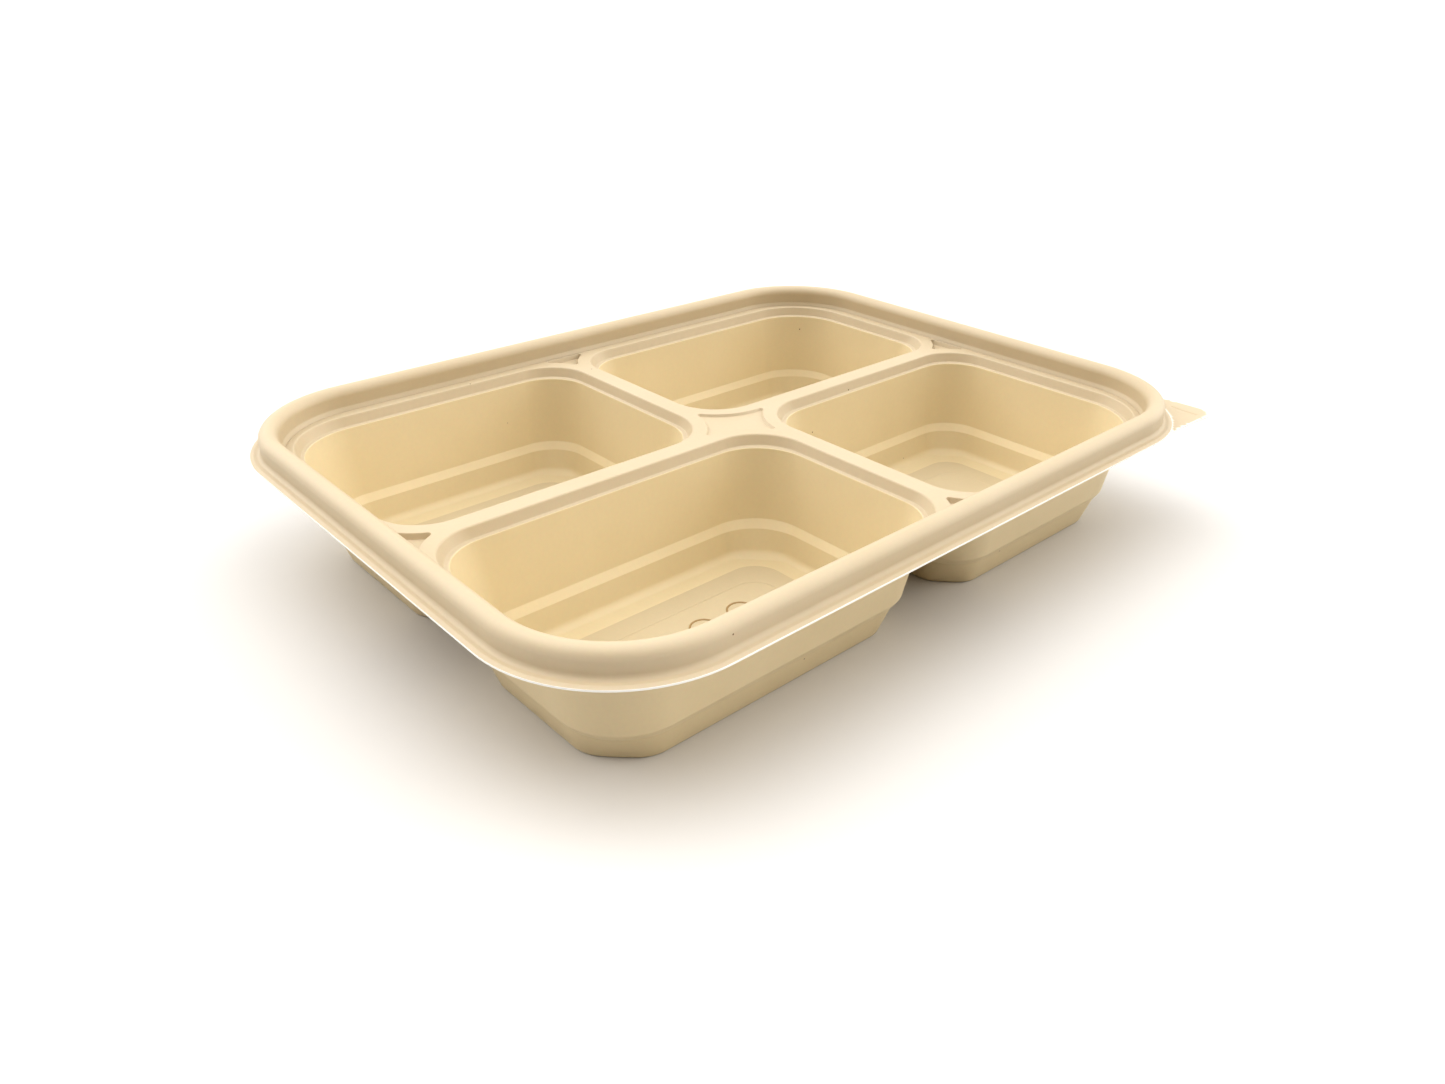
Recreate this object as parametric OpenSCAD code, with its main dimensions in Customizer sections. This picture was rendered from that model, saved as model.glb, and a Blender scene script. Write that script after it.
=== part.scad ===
// Four-cup food tray, formed from one thin sheet.
// Millimetres. The origin is at the centre of the rim's rectangle, on the plane that the tray stands on.
// +X runs along the long side and +Z points up. The pull tab is at the +X, -Y corner.
// The cups are laid out like a pinwheel: the front and back cups are long and shallow, and the
// left and right ones are closer to square, so the four dividers don't line up across the centre.

/* [Rim] */
// Length of the rim, flange edge to flange edge
rim_length = 240; // [225:1:270]
// Width of the rim, flange edge to flange edge
rim_width = 183; // [172:1:210]
// Overall height, from the table to the top of the bead
tray_height = 42; // [40:0.5:55]
// Corner radius of the flange's edge
rim_corner_r = 36.6; // [34:0.1:40]
// Thickness of the sheet in the flange and the bead
rim_sheet = 0.6; // [0.4:0.05:0.8]
// Width of the flat flange outside the bead
flange_width = 2.9; // [2.5:0.1:4]
// Outside radius of the bead's round top
bead_r = 2.7; // [2.4:0.1:3]
// Drop from the top of the bead to the flange's top face
bead_drop = 6.5; // [6:0.1:8]
// Width of the crease between the bead and the deck
crease_width = 0.6; // [0.5:0.05:0.9]
// Depth of the crease's groove below the deck
crease_depth = 0.35; // [0.2:0.05:0.5]

/* [Pull tab] */
// Radius of the tab's round tip
tab_tip_r = 5.8; // [4:0.1:8]
// Radius of the hollow sweep from the tab's tip to the rim's corner
tab_sweep_r = 100; // [60:5:160]
// Length of the groove pressed into the tab
tab_groove_length = 7; // [4:0.5:8]
// Width of the groove pressed into the tab
tab_groove_width = 0.7; // [0.5:0.1:1.2]

/* [Deck] */
// Drop from the top of the bead to the deck
deck_drop = 7; // [6.8:0.1:9]
// Thickness of the sheet in the deck
deck_sheet = 0.7; // [0.5:0.05:0.9]
// Gap between the mouths of two neighbouring cups
divider_gap = 6.06; // [5.5:0.02:8]
// Place along X of the divider between the front and right cups
front_divider_x = 8.1; // [-10:0.1:10]
// Place along X of the divider between the back and left cups
back_divider_x = -5.4; // [-10:0.1:10]
// Place along Y of the divider between the left and front cups
left_divider_y = -4; // [-8:0.1:8]
// Place along Y of the divider between the right and back cups
right_divider_y = 5; // [-8:0.1:8]
// Width of the flat band round each mouth, beside a recess
band_width = 4.3; // [3.5:0.1:4.8]
// Depth of the recess where a divider meets the rim
pocket_depth = 1.6; // [1:0.1:2.5]
// Depth of the star-shaped recess at the centre
star_depth = 0.8; // [0.5:0.1:1.5]
// Width of the sloping side of a recess
recess_slope = 0.7; // [0.4:0.1:1]

/* [Cup mouths] */
// Distance from the flange's edge to a cup's mouth
mouth_inset = 12.2; // [12:0.1:14]
// Mouth radius of the corner under the rim's own corner
mouth_outer_r = 21.5; // [18:0.5:23]
// Mouth radius of the corner where a divider meets the rim
mouth_side_r = 14; // [12:0.5:16]
// Mouth radius of the corner at the centre of the tray
mouth_inner_r = 15.6; // [14:0.2:18]
// Radius of the mouth's rolled edge
mouth_edge_r = 0.6; // [0.4:0.1:0.8]
// Drop from the deck to the ledge under the mouth
ledge_drop = 3; // [2.5:0.1:4]
// Inset of the ledge's outer edge
ledge_inset = 1.14; // [1:0.02:1.5]
// Width of the ledge
ledge_width = 0.96; // [0.8:0.02:1.4]

/* [Cup walls] */
// Thickness of the sheet in the cups
cup_sheet = 0.7; // [0.5:0.05:0.9]
// Height of the upper edge of the step in the wall
step_high_z = 10.97; // [10:0.01:13]
// Height of the lower edge of the step in the wall
step_low_z = 8.63; // [8:0.01:9.5]
// Inset of the step's upper edge
step_high_inset = 5.11; // [4.5:0.01:5.5]
// Inset of the step's lower edge
step_low_inset = 6.61; // [6.2:0.01:7.2]
// Inner corner radius at the step, under the rim's own corner
step_outer_r = 16.4; // [14:0.2:18]
// Inner corner radius at the step, where a divider meets the rim
step_side_r = 12.5; // [11:0.5:14]
// Inner corner radius at the step, at the centre of the tray
step_inner_r = 15.9; // [13:0.1:17]

/* [Cup floors] */
// Inset of the centre of the rounded foot
foot_inset = 10.9; // [10:0.1:12]
// Inner radius of the rounded foot
foot_r = 3; // [2.5:0.1:3.5]
// Inset of the centre of the foot's outer edge
edge_inset = 9.15; // [9:0.05:10]
// Radius of the foot's outer edge
edge_r = 1; // [0.6:0.1:1.5]
// Rise of the floor at the foot, where it slopes down to the part that stands on the table
ramp_rise = 0.45; // [0.2:0.05:0.8]
// Inset of the lower end of the sloping floor
ramp_inset = 14.7; // [14:0.1:16]
// Corner radii of the floor there: under the rim's corner, by the rim, and at the centre
ramp_corner_r = [10, 8, 9]; // [7:0.5:12]
// Inset of the raised pad in the middle of the floor
pad_inset = 22; // [20:0.5:24]
// Corner radius of the raised pad
pad_corner_r = 7.4; // [5:0.1:9]
// Height of the raised pad above the floor
pad_rise = 0.35; // [0.2:0.05:0.6]

/* [Floor marks] */
// Outer diameter of a ring mark
mark_d = 8.2; // [6:0.1:10]
// Width of a mark's raised line
mark_line = 0.45; // [0.3:0.05:0.8]
// Height of a mark above the pad
mark_rise = 0.2; // [0.1:0.05:0.4]
// Distance between the two ring marks
mark_pitch = 13.3; // [10:0.1:16]

/* [Hidden] */
CUPS = ["front", "right", "back", "left"];
CUP_PIECES = ["lip", "wall", "step", "base", "floor", "pad"];
SIDES = ["front", "right", "back", "left"];

// Corner kinds: under the rim's own corner, where a divider meets the rim, and at the centre
OUTER = 0;
SIDE = 1;
INNER = 2;
MOUTH_R = [mouth_outer_r, mouth_side_r, mouth_inner_r];
STEP_R = [step_outer_r, step_side_r, step_inner_r];

// Each cup: lowest x, highest x, lowest y, highest y of its mouth, and the kinds of its corners,
// counted anticlockwise from the +X, +Y one
half_gap = divider_gap / 2;
mouth_x = rim_length / 2 - mouth_inset;
mouth_y = rim_width / 2 - mouth_inset;
FRONT = [-mouth_x, front_divider_x - half_gap, -mouth_y, left_divider_y - half_gap, [INNER, SIDE, OUTER, SIDE]];
RIGHT = [front_divider_x + half_gap, mouth_x, -mouth_y, right_divider_y - half_gap, [SIDE, INNER, SIDE, OUTER]];
BACK = [back_divider_x + half_gap, mouth_x, right_divider_y + half_gap, mouth_y, [OUTER, SIDE, INNER, SIDE]];
LEFT = [-mouth_x, back_divider_x - half_gap, left_divider_y + half_gap, mouth_y, [SIDE, OUTER, SIDE, INNER]];
LAYOUT = [FRONT, RIGHT, BACK, LEFT];

deck_z = tray_height - deck_drop;
flange_z = tray_height - bead_drop;
flange_base_z = flange_z - rim_sheet;
bead_z = tray_height - bead_r;
bead_inset = flange_width + bead_r;
crease_inset = flange_width + 2 * bead_r;
band_inset = crease_inset + crease_width;
crease_base_z = deck_z - crease_depth - rim_sheet;
ledge_z = deck_z - ledge_drop;
ledge_end = ledge_inset + ledge_width;
lip_base_z = ledge_z - deck_sheet;
lip_reach = mouth_edge_r + deck_sheet;
foot_z = cup_sheet + ramp_rise + foot_r;
ramp_fall = atan(ramp_rise / (ramp_inset - foot_inset));
floor_top_z = cup_sheet;
pad_top_z = floor_top_z + pad_rise;
band_r = mouth_side_r + band_width;
star_r = mouth_inner_r + band_width;

// Steps in a quarter turn of a cup's corner, and in the foot's arc
arc_steps = 8;
foot_steps = 4;
// A cutter runs this far past the face that it cuts
past = 1;
$fn = 96;

cream = [0.93, 0.87, 0.74];
honey = [0.89, 0.79, 0.60];
pale = [0.95, 0.91, 0.81];

// Inner corner radius of a cup at an inset, by kind of corner
function corner_radius(kind, inset) = lookup(inset, [
    [0, MOUTH_R[kind]],
    [step_low_inset, STEP_R[kind]],
    [edge_inset + cup_sheet, STEP_R[kind]],
    [ramp_inset, ramp_corner_r[kind]],
    [pad_inset, pad_corner_r]
]);

// Centre of a cup's corner at an inset. back moves the outline out again, as the sheet's other face is
function corner_centre(cup, corner, inset = 0) =
    let (reach = inset + corner_radius(cup[4][corner], inset))
    [
        corner == 0 || corner == 3 ? cup[1] - reach : cup[0] + reach,
        corner < 2 ? cup[3] - reach : cup[2] + reach
    ];

// Outline of a cup at an inset, moved out by back
function outline(cup, inset, back = 0) = [
    for (corner = [0:3])
    let (
        c = corner_centre(cup, corner, inset),
        r = corner_radius(cup[4][corner], inset) + back
    )
    for (i = [0:arc_steps])
    let (turn = 90 * (corner + i / arc_steps))
    c + r * [cos(turn), sin(turn)]
];

// A closed profile swept round a cup. Each of its points is [inset, height, back]
module cup_ring(cup, profile) {
    loops = [for (p = profile) [for (q = outline(cup, p[0], p[2])) [q[0], q[1], p[1]]]];
    count = len(loops[0]);
    rows = len(loops);
    points = [for (loop = loops) each loop];
    faces = [
        for (row = [0:rows - 1])
        for (i = [0:count - 1])
        let (
            next_row = (row + 1) % rows,
            next = (i + 1) % count,
            a = row * count + i,
            b = row * count + next,
            c = next_row * count + next,
            d = next_row * count + i
        )
        each [[a, c, b], [a, d, c]]
    ];
    polyhedron(points, faces, convexity = 6);
}

// A profile swept round the rim. Its x is the distance in from the flange's edge
module rim_sweep() {
    for (i = [0:3]) {
        reach = i % 2 == 0 ? rim_length : rim_width;
        side = i % 2 == 0 ? rim_width : rim_length;
        rotate([0, 0, 90 * i])
            translate([reach / 2 - rim_corner_r, side / 2 - rim_corner_r, 0]) {
                rotate([90, 0, 0])
                    linear_extrude(side - 2 * rim_corner_r)
                        rim_profile() children();
                rotate_extrude(angle = 90)
                    rim_profile() children();
            }
    }
}

module rim_profile() {
    translate([rim_corner_r, 0])
        mirror([1, 0])
            children();
}

// A rectangle given by its lowest and highest corners
module box_2d(low, high) {
    translate(low)
        square(high - low);
}

// The rim's rounded rectangle, moved in
module rim_outline(inset) {
    r = rim_corner_r - inset;
    x = rim_length / 2 - rim_corner_r;
    y = rim_width / 2 - rim_corner_r;
    box_2d([-x - r, -y], [x + r, y]);
    box_2d([-x, -y - r], [x, y + r]);
    for (sx = [-1, 1])
        for (sy = [-1, 1])
            translate([sx * x, sy * y])
                circle(r);
}

// Ends of the straight stretch of a divider, from the rim to the centre
function divider_box(side) =
    side == 0 ? [
        [front_divider_x - half_gap, corner_centre(FRONT, 3)[1]],
        [front_divider_x + half_gap, corner_centre(FRONT, 0)[1]]
    ]
    : side == 1 ? [
        [corner_centre(RIGHT, 1)[0], right_divider_y - half_gap],
        [corner_centre(RIGHT, 0)[0], right_divider_y + half_gap]
    ]
    : side == 2 ? [
        [back_divider_x - half_gap, corner_centre(BACK, 2)[1]],
        [back_divider_x + half_gap, corner_centre(BACK, 1)[1]]
    ]
    : [
        [corner_centre(LEFT, 2)[0], left_divider_y - half_gap],
        [corner_centre(LEFT, 3)[0], left_divider_y + half_gap]
    ];

// The square of deck at the centre, between the inner ends of the dividers
centre_low = [divider_box(3)[1][0], divider_box(0)[1][1]];
centre_high = [divider_box(1)[0][0], divider_box(2)[0][1]];

module deck_outline() {
    difference() {
        rim_outline(band_inset);
        for (cup = LAYOUT)
            polygon(outline(cup, 0, lip_reach));
    }
}

// The two corners that flank the recess on a side: [cup, corner] twice
function pocket_corners(side) =
    side == 0 ? [[FRONT, 3], [RIGHT, 2]]
    : side == 1 ? [[RIGHT, 0], [BACK, 3]]
    : side == 2 ? [[BACK, 1], [LEFT, 0]]
    : [[LEFT, 2], [FRONT, 1]];

// Outline of the recess on a side, moved in by inset
module pocket_outline(side, inset) {
    pair = pocket_corners(side);
    c1 = corner_centre(pair[0][0], pair[0][1]);
    c2 = corner_centre(pair[1][0], pair[1][1]);
    edge_x = rim_length / 2 - band_inset - inset;
    edge_y = rim_width / 2 - band_inset - inset;
    out = side == 0 ? [0, -edge_y] : side == 1 ? [edge_x, 0] : side == 2 ? [0, edge_y] : [-edge_x, 0];
    e1 = side % 2 == 0 ? [c1[0], out[1]] : [out[0], c1[1]];
    e2 = side % 2 == 0 ? [c2[0], out[1]] : [out[0], c2[1]];
    difference() {
        polygon([c1, e1, e2, c2]);
        for (c = [c1, c2])
            translate(c)
                circle(band_r + inset);
    }
}

// Outline of the star at the centre, moved in by inset
module star_outline(inset) {
    centres = [
        corner_centre(FRONT, 0),
        corner_centre(RIGHT, 1),
        corner_centre(BACK, 2),
        corner_centre(LEFT, 3)
    ];
    difference() {
        polygon(centres);
        for (c = centres)
            translate(c)
                circle(star_r + inset);
    }
}

module deck_plate() {
    translate([0, 0, deck_z - deck_sheet])
        linear_extrude(deck_sheet)
            children();
}

// The flat outer edge of the rim
module rim_flange() {
    color(cream)
        rim_sweep()
            box_2d([0, flange_base_z], [flange_width, flange_z]);
}

// The hollow round bead that a lid presses over
module rim_bead() {
    color(cream)
        rim_sweep()
            difference() {
                union() {
                    translate([bead_inset, bead_z])
                        circle(bead_r);
                    box_2d([flange_width, flange_base_z], [bead_inset, bead_z]);
                    box_2d([bead_inset, crease_base_z], [crease_inset, bead_z]);
                }
                translate([bead_inset, bead_z])
                    circle(bead_r - rim_sheet);
                box_2d([flange_width + rim_sheet, 0], [crease_inset - rim_sheet, bead_z]);
            }
}

// The fine groove between the bead and the deck
module rim_crease() {
    groove_r = crease_width / 2;
    color(honey)
        rim_sweep()
            difference() {
                box_2d([crease_inset, crease_base_z], [band_inset, deck_z]);
                translate([crease_inset + groove_r, deck_z - crease_depth + groove_r])
                    circle(groove_r);
                box_2d(
                    [crease_inset, deck_z - crease_depth + groove_r],
                    [crease_inset + 2 * groove_r, deck_z + past]
                );
            }
}

// The tab that a finger lifts the lid by, with its pressed groove
module pull_tab() {
    root = [rim_length / 2 - rim_corner_r, -rim_width / 2 + rim_corner_r];
    tip = [rim_length / 2 - tab_tip_r, -rim_width / 2 + tab_tip_r];
    span = norm(tip - root);
    root_reach = rim_corner_r + tab_sweep_r;
    tip_reach = tab_tip_r + tab_sweep_r;
    // The sweep's centre lies this far along the tab and this far to its side
    along = (root_reach * root_reach - tip_reach * tip_reach + span * span) / (2 * span);
    aside = sqrt(root_reach * root_reach - along * along);
    forward = (tip - root) / span;
    left = [-forward[1], forward[0]];
    sweep_centres = [root + along * forward + aside * left, root + along * forward - aside * left];
    groove_end = tip + [-0.4, 5.2];
    groove_turn = 5;
    color(cream)
        translate([0, 0, flange_base_z])
            difference() {
                linear_extrude(rim_sheet)
                    difference() {
                        union() {
                            translate(tip)
                                circle(tab_tip_r);
                            difference() {
                                polygon([root, sweep_centres[1], tip, sweep_centres[0]]);
                                for (c = sweep_centres)
                                    translate(c)
                                        circle(tab_sweep_r, $fn = 720);
                            }
                        }
                        translate(root)
                            circle(rim_corner_r);
                    }
                translate([groove_end[0], groove_end[1], rim_sheet / 2])
                    rotate([0, 0, -groove_turn])
                        linear_extrude(rim_sheet)
                            union() {
                                circle(d = tab_groove_width);
                                translate([-tab_groove_width / 2, -tab_groove_length])
                                    square([tab_groove_width, tab_groove_length]);
                                translate([0, -tab_groove_length])
                                    circle(d = tab_groove_width);
                            }
            }
}

// The flat deck round the outside of the mouths
module rim_band() {
    color(cream)
        deck_plate()
            difference() {
                deck_outline();
                box_2d(centre_low, centre_high);
                for (side = [0:3]) {
                    box_2d(divider_box(side)[0], divider_box(side)[1]);
                    pocket_outline(side, 0);
                }
            }
}

// The flat top of the straight stretch of one divider
module divider(side) {
    color(cream)
        deck_plate()
            intersection() {
                deck_outline();
                box_2d(divider_box(side)[0], divider_box(side)[1]);
            }
}

// The deck round the star, where the four dividers meet
module centre_web() {
    color(cream)
        deck_plate()
            difference() {
                intersection() {
                    deck_outline();
                    box_2d(centre_low, centre_high);
                }
                star_outline(0);
            }
}

// The shallow star-shaped recess where the four dividers meet
module centre_star() {
    color(honey)
        recess(star_depth) {
            star_outline(0);
            star_outline(recess_slope);
        }
}

// The three-sided recess where one divider meets the rim
module pocket(side) {
    color(honey)
        recess(pocket_depth) {
            pocket_outline(side, 0);
            pocket_outline(side, recess_slope);
        }
}

// A shallow pan in the deck: the first child is its outline and the second its hollow's
module recess(depth) {
    difference() {
        translate([0, 0, deck_z - depth - deck_sheet])
            linear_extrude(depth + deck_sheet)
                children(0);
        translate([0, 0, deck_z - depth])
            linear_extrude(depth + past)
                children(1);
    }
}

// The rolled mouth of a cup, with the ledge under it
module cup_lip(cup) {
    color(pale)
        cup_ring(cup, [
            [0, deck_z, lip_reach],
            [0, deck_z, mouth_edge_r],
            [0, deck_z - mouth_edge_r * (1 - cos(45)), mouth_edge_r * (1 - sin(45))],
            [0, deck_z - mouth_edge_r, 0],
            [ledge_inset, ledge_z, 0],
            [ledge_end, ledge_z, 0],
            [ledge_end, lip_base_z, 0],
            [ledge_inset, lip_base_z, deck_sheet],
            [0, deck_z - deck_sheet, deck_sheet],
            [0, deck_z - deck_sheet, lip_reach]
        ]);
}

// The tall upper wall of a cup
module cup_wall(cup) {
    color(honey)
        cup_ring(cup, [
            [ledge_end, lip_base_z, cup_sheet],
            [ledge_end, lip_base_z, 0],
            [step_high_inset, step_high_z, 0],
            [step_high_inset, step_high_z, cup_sheet]
        ]);
}

// The sloping step in a cup's wall
module cup_step(cup) {
    color(pale)
        cup_ring(cup, [
            [step_high_inset, step_high_z, cup_sheet],
            [step_high_inset, step_high_z, 0],
            [step_low_inset, step_low_z, 0],
            [step_low_inset, step_low_z, cup_sheet]
        ]);
}

// The direction from a round's centre to where a line from outside, run and rise away, touches it
function touch_turn(run, rise, r) = 180 - atan(rise / run) + acos(r / norm([run, rise]));

// The turns of an arc's points, from one direction to another
function arc_turns(first, last) = [
    for (i = [0:foot_steps]) first + (last - first) * i / foot_steps
];

// The lower wall of a cup, rounded inside at its foot and crisp outside, and its floor's slope
module cup_base(cup) {
    inner_turns = arc_turns(
        touch_turn(foot_inset - step_low_inset, step_low_z - foot_z, foot_r),
        270 - ramp_fall
    );
    outer_turns = arc_turns(
        270,
        touch_turn(edge_inset - step_low_inset + cup_sheet, step_low_z - edge_r, edge_r)
    );
    inner = [for (t = inner_turns) [foot_inset + foot_r * cos(t), foot_z + foot_r * sin(t), 0]];
    outer = [for (t = outer_turns) [
        edge_inset + cup_sheet + edge_r * cos(t),
        edge_r + edge_r * sin(t),
        cup_sheet
    ]];
    color(honey)
        cup_ring(cup, concat(
            [[step_low_inset, step_low_z, cup_sheet], [step_low_inset, step_low_z, 0]],
            inner,
            [[ramp_inset, floor_top_z, 0], [ramp_inset, 0, 0]],
            outer
        ));
}

// The part of a cup's floor that stands on the table
module cup_floor(cup) {
    color(cream)
        linear_extrude(cup_sheet)
            difference() {
                polygon(outline(cup, ramp_inset));
                polygon(outline(cup, pad_inset));
            }
}

// The raised middle of a cup's floor, hollow underneath
module cup_pad(cup) {
    slope = 2 * pad_rise;
    color(pale)
        difference() {
            linear_extrude(pad_top_z)
                polygon(outline(cup, pad_inset));
            translate([0, 0, -past])
                linear_extrude(pad_rise + past)
                    polygon(outline(cup, pad_inset + slope));
        }
}

// The two plain ring marks on the front cup's floor, each round a short raised dash
module floor_marks() {
    first = [FRONT[0] + 62, FRONT[2] + 40];
    dash = [3, mark_line];
    color(pale)
        translate([0, 0, pad_top_z])
            linear_extrude(mark_rise)
                for (i = [0:1])
                    translate(first + [i * mark_pitch, 0]) {
                        difference() {
                            circle(d = mark_d);
                            circle(d = mark_d - 2 * mark_line);
                        }
                        for (row = [-1, 1])
                            translate([0, row * mark_d / 8])
                                square(dash, center = true);
                    }
}

rim_flange();
rim_bead();
rim_crease();
pull_tab();
rim_band();
centre_web();
centre_star();
floor_marks();
for (i = [0:3]) {
    divider(i);
    pocket(i);
    cup_lip(LAYOUT[i]);
    cup_wall(LAYOUT[i]);
    cup_step(LAYOUT[i]);
    cup_base(LAYOUT[i]);
    cup_floor(LAYOUT[i]);
    cup_pad(LAYOUT[i]);
}
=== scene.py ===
"""A four-cup food tray formed from one thin sheet, in the soft light of a white studio.

Profiles and outlines are in millimetres, in the frame of the CAD model. A profile is a path in the
plane (inset, height), run from the outside of an outline to its inside, and it is swept round a loop.
Each piece is a closed solid: an upper skin, an under skin and the seams that join them.
"""
import math

import bpy
import numpy as np
from mathutils import Matrix, Vector
from mathutils.geometry import delaunay_2d_cdt


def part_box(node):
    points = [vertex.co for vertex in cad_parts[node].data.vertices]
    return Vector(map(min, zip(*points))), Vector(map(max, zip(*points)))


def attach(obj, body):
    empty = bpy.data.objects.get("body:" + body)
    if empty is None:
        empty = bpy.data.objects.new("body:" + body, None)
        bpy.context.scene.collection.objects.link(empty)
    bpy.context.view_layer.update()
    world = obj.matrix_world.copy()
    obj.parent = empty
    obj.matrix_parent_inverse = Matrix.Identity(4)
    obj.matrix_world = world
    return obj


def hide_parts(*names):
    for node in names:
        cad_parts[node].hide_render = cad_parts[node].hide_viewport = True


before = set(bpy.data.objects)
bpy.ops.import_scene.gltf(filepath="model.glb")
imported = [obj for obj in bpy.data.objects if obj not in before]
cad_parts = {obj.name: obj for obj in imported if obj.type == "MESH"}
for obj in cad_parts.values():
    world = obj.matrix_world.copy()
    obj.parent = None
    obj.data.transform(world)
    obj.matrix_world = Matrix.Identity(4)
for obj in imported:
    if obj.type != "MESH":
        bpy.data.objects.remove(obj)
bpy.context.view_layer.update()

MM = 0.001
SIDES = ("front", "right", "back", "left")
OUTER, SIDE, INNER = 0, 1, 2  # kinds of corner: under the rim's own, by the rim, at the centre

# Resolution of the meshes
CORNER_STEPS = 28
STRAIGHT_STEPS = 8
ARC_DEGREES = 9
LONGEST_STEP = 5.0
SMALL = 1e-3  # a step for slopes, and the least turn that counts
LEAST_FILLET = 0.12

# The sheet
RIM_SHEET = 0.6
DECK_SHEET = 0.7
CUP_SHEET = 0.7

# The rim's profile, as insets from the flange's edge
RIM_CORNER_R = 36.6
EDGE_SLOPE = 1.0  # width of the sloping edge of the flange
EDGE_DROP = 0.35
BEAD_START = 2.9
BEAD_R = 2.7
BEAD_END = BEAD_START + 2 * BEAD_R
DECK_START = 9.4

# Corner radii of a cup by kind: at its mouth, its step, the slope of its floor, and its pad
MOUTH_R = (21.5, 14.0, 15.6)
STEP_R = (16.4, 12.5, 15.9)
RAMP_R = (10.0, 8.0, 9.0)
PAD_R = 7.4
LIP_REACH = 1.3
STEP_HIGH = (5.11, 10.97)
STEP_LOW = (6.61, 8.63)
RAMP_INSET = 14.7
PAD_INSET = 22.0
FOOT_EDGE_R = 1.0  # the outer edge that it stands on is crisp
FOOT_INSET = 9.85  # as far in as the corners stay as large as at the step
FOOT_FLATNESS = 0.8  # and there they are cut off almost flat

# A flat corner, as shares of the radius of the round one it takes the place of
BEND_R = 0.35
FLAT_LEG = 0.66
BEND_SHARE = 0.36  # of the steps round it, in each of its two bends

# The recesses in the deck
BAND = 4.3  # from a cup's mouth to a recess
POCKET_DEPTH = 1.6
STAR_DEPTH = 0.8
TIP_R = 0.95
POCKET_GAP = 0.15  # between a pocket and the bead's crease
RECESS_SLOPE = 0.55
SLOPE_IN = 0.45  # the deck ends this far outside a recess's outline, where its edge rounds over
TIP_STEPS, RECESS_ARC_STEPS, RECESS_LINE_STEPS = 8, 16, 12


def mm_box(node):
    """A CAD node's lowest and highest corners, in millimetres."""
    low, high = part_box(node)
    return np.array(low) / MM, np.array(high) / MM


# ---------------------------------------------------------------- places, from the frame
flange_low, flange_high = mm_box("rim_flange")
HALF_X, HALF_Y = flange_high[0], flange_high[1]
FLANGE_Z = flange_high[2]
BEAD_TOP = mm_box("rim_bead")[1][2]
DECK_Z = mm_box("rim_band")[1][2]
PAD_Z = mm_box("front_pad")[1][2]
TAB_Z = FLANGE_Z - EDGE_DROP

CORNER_KINDS = {  # anticlockwise from the +X, +Y corner
    "front": (INNER, SIDE, OUTER, SIDE),
    "right": (SIDE, INNER, SIDE, OUTER),
    "back": (OUTER, SIDE, INNER, SIDE),
    "left": (SIDE, OUTER, SIDE, INNER),
}


def mouth_of(cup):
    low, high = mm_box(cup + "_lip")
    return low[0] + LIP_REACH, high[0] - LIP_REACH, low[1] + LIP_REACH, high[1] - LIP_REACH


MOUTHS = {cup: mouth_of(cup) for cup in SIDES}


# ---------------------------------------------------------------- outlines
def unit(v):
    v = np.asarray(v, float)
    return v / np.linalg.norm(v)


def heading(v):
    return math.atan2(v[1], v[0])


def at(angle):
    return np.array([math.cos(angle), math.sin(angle)])


def between(a, b, share):
    """The heading part of the way from a to b, by the shorter way round."""
    return a + ((b - a + math.pi) % (2 * math.pi) - math.pi) * share


def flat_corner(r, share):
    """A point of a corner that is cut off flat between two bends, from its square corner, at a share
    of the way round. r is the radius of the round corner it takes the place of."""
    bend_r = BEND_R * r
    start = FLAT_LEG * r + bend_r * math.tan(math.pi / 8)
    bends = (np.array([-bend_r, -start]), np.array([-start, -bend_r]))
    if share <= BEND_SHARE:
        return bends[0] + bend_r * at(math.pi / 4 * share / BEND_SHARE)
    if share >= 1 - BEND_SHARE:
        return bends[1] + bend_r * at(math.pi / 2 - math.pi / 4 * (1 - share) / BEND_SHARE)
    along = (share - BEND_SHARE) / (1 - 2 * BEND_SHARE)
    ends = [bend + bend_r * at(math.pi / 4) for bend in bends]
    return ends[0] + (ends[1] - ends[0]) * along


def outward_headings(points):
    """The heading of the outward normal at each point of an anticlockwise outline."""
    step = np.roll(points, -1, 0) - points
    length = np.linalg.norm(step, axis=1)
    way = step / length[:, None]
    tangent = np.roll(way, 1, 0) * length[:, None] + way * np.roll(length, 1)[:, None]
    return np.arctan2(-tangent[:, 0], tangent[:, 1])


def rounded_loop(x0, x1, y0, y1, radii, flat=0.0):
    """Points of a rounded rectangle, anticlockwise, and the heading of its outward normal at each.
    flat turns its corners from round, at 0, to cut off flat, at 1."""
    square = ((x1, y1), (x0, y1), (x0, y0), (x1, y0))
    points, headings, arcs = [], [], []
    for corner in range(4):
        r, quarter = radii[corner], math.pi / 2 * corner
        spin = np.array([at(quarter), at(quarter + math.pi / 2)]).T
        arc = []
        for i in range(CORNER_STEPS + 1):
            share = i / CORNER_STEPS
            local = r * (at(math.pi / 2 * share) - 1)
            if flat > 0:
                local = local + flat * (flat_corner(r, share) - local)
            arc.append((square[corner] + spin @ local, quarter + math.pi / 2 * share))
        arcs.append(arc)
    for corner in range(4):
        for p, t in arcs[corner]:
            points.append(p)
            headings.append(t)
        start, t = arcs[corner][-1]
        end = arcs[(corner + 1) % 4][0][0]
        for i in range(1, STRAIGHT_STEPS):
            points.append(start + (end - start) * i / STRAIGHT_STEPS)
            headings.append(t)
    points = np.array(points)
    return points, outward_headings(points) if flat > 0 else np.array(headings)


def rim_loop(inset):
    r = RIM_CORNER_R - inset
    x, y = HALF_X - inset, HALF_Y - inset
    return rounded_loop(-x, x, -y, y, (r, r, r, r))


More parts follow.
